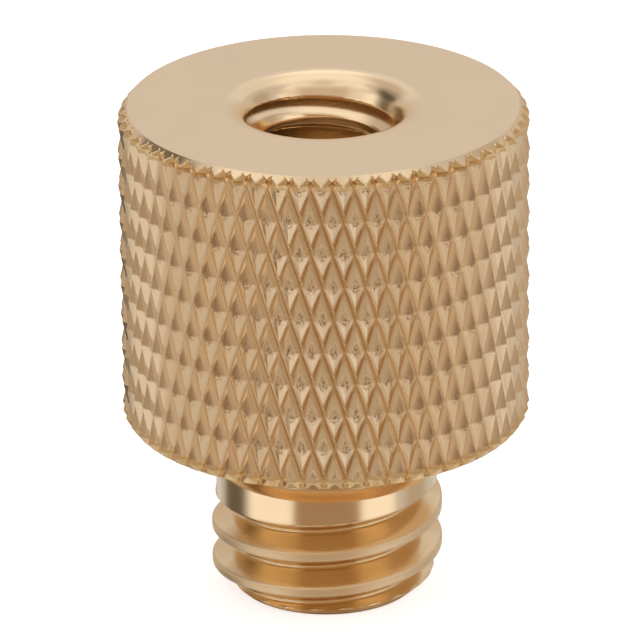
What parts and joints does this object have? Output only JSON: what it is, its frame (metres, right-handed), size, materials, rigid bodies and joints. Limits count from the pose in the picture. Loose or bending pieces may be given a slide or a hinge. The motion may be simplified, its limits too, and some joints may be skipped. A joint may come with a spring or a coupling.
{
  "type": "tripod thread adapter",
  "caption": "Knurled brass adapter with a countersunk camera-screw socket in its top and a larger threaded stud below its shoulder.",
  "frame": {"origin": "centre of the stud's flat end, which is also the bottom centre of the bounding box", "axes": "+Z along the turning axis, from the stud's end up through the shoulder and the body to the socket's mouth"},
  "size_m": [0.0166, 0.0166, 0.021],
  "materials": {
    "brass": "bright turned brass, rolled diamond knurl on the side"
  },
  "bodies": {
    "root": {"thread_adapter": "brass"}
  },
  "joints": []
}
